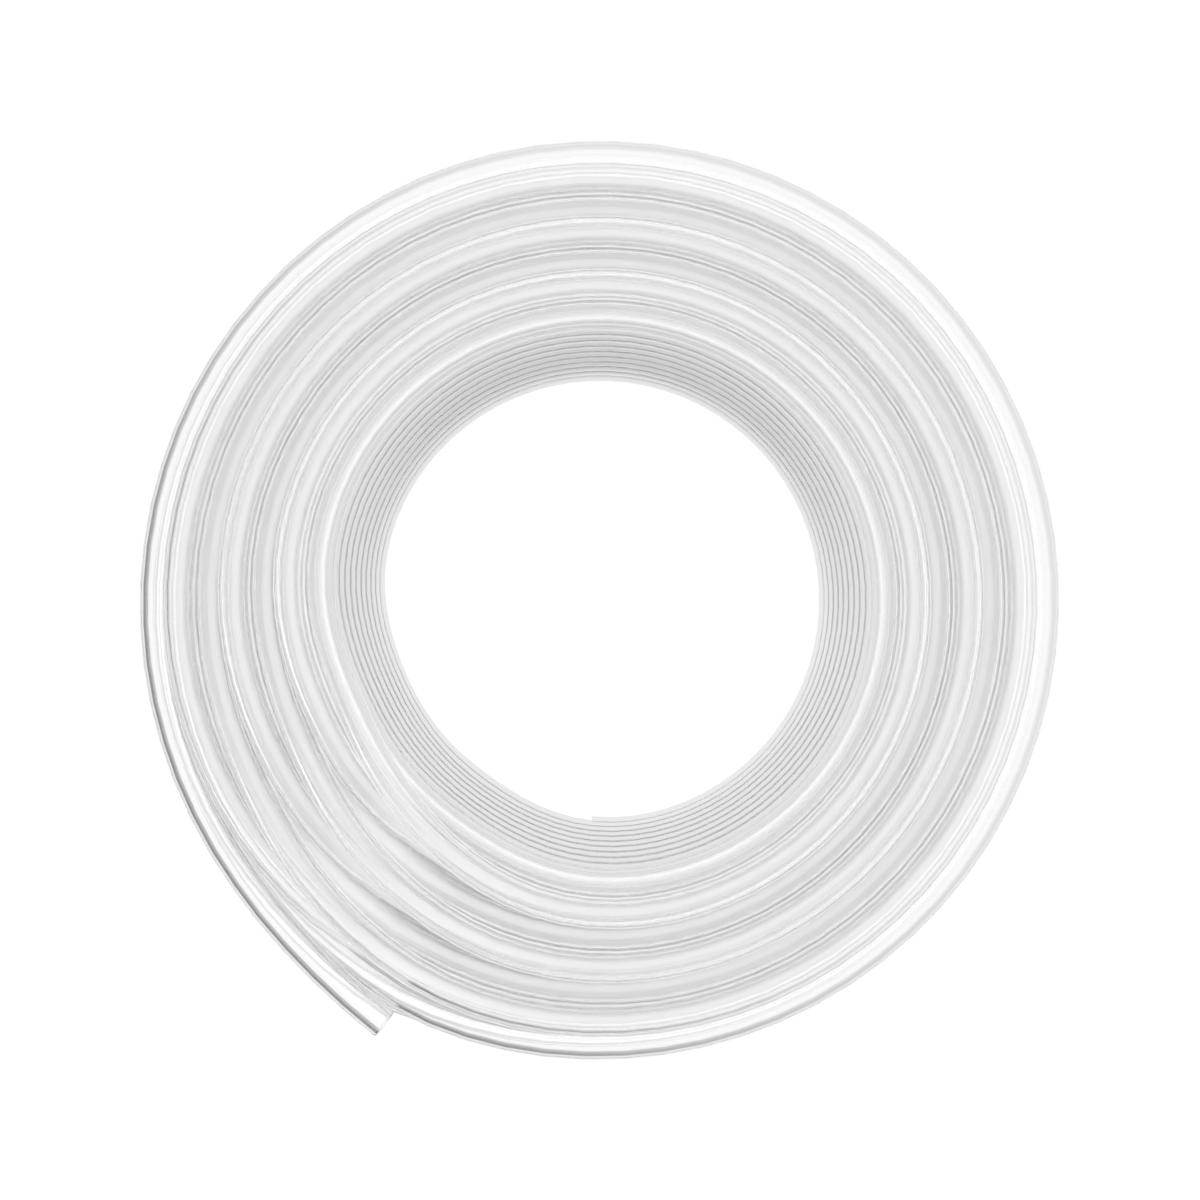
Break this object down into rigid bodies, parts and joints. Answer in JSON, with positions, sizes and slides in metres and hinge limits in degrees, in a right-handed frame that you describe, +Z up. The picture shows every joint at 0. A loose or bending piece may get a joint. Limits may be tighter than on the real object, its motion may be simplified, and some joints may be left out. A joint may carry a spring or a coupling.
{
  "type": "coil of clear pvc fuel hose",
  "caption": "Coil of thin clear PVC fuel hose, wound in nested layers round an open bore, lying flat with one free cut end.",
  "frame": {"origin": "on the coil's axis, at the surface that the coil lies on", "axes": "+Z up along the coil's axis, the free end leaves the winding near -Y"},
  "size_m": [0.2426, 0.2426, 0.092],
  "materials": {
    "clear_hose": "clear, smooth, slightly milky soft PVC with fine scuffs on the crests"
  },
  "bodies": {
    "root": {"coil_winding": "clear_hose", "hose_free_end": "clear_hose"}
  },
  "joints": []
}
